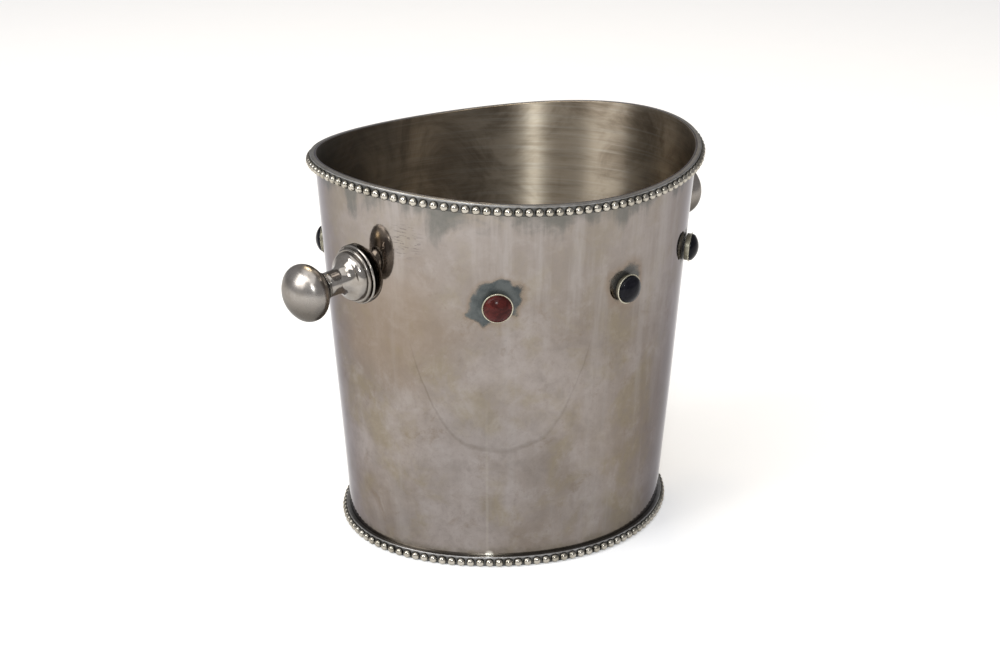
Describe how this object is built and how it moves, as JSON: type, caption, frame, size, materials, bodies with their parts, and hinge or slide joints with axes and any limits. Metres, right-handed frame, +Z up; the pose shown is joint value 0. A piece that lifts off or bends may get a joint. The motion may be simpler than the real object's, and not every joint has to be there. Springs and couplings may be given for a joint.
{
  "type": "champagne bucket",
  "caption": "Oval tapered silver champagne bucket with a waved beaded rim, a beaded foot, a knob handle at each end and round stones in cup settings.",
  "frame": {"origin": "centre of the foot oval, on the surface that the bucket stands on", "axes": "+Z up through the mouth; +X along the long way of the oval, through the two knob handles; +Y square to both"},
  "size_m": [0.3114, 0.2078, 0.2195],
  "materials": {
    "silver_body": "polished silver sheet, lightly tarnished and stained",
    "silver_moulding": "silver moulding strip, greyed by tarnish",
    "silver_beads": "bright silver beads with tarnish between them",
    "silver_handle": "polished turned silver, dark in the grooves",
    "silver_setting": "thin silver cup with a burnished lip",
    "silver_rivet": "plain hammered rivet end",
    "red_stone": "polished brown-red carnelian",
    "black_stone": "polished black onyx"
  },
  "bodies": {
    "root": {"body_wall": "silver_body", "floor_plate": "silver_body", "rim_strip": "silver_moulding", "rim_beads": "silver_beads", "foot_strip": "silver_moulding", "foot_beads": "silver_beads", "left_handle_flange": "silver_handle", "left_handle_lip": "silver_handle", "left_handle_bell": "silver_handle", "left_handle_collar": "silver_handle", "left_handle_knob": "silver_handle", "left_handle_stud": "silver_rivet", "right_handle_flange": "silver_handle", "right_handle_lip": "silver_handle", "right_handle_bell": "silver_handle", "right_handle_collar": "silver_handle", "right_handle_knob": "silver_handle", "right_handle_stud": "silver_rivet", "front_left_cup": "silver_setting", "front_left_stone": "red_stone", "front_middle_cup": "silver_setting", "front_middle_stone": "black_stone", "front_right_cup": "silver_setting", "front_right_stone": "black_stone", "back_left_cup": "silver_setting", "back_left_stone": "black_stone", "back_middle_cup": "silver_setting", "back_middle_stone": "black_stone", "back_right_cup": "silver_setting", "back_right_stone": "black_stone"}
  },
  "joints": []
}
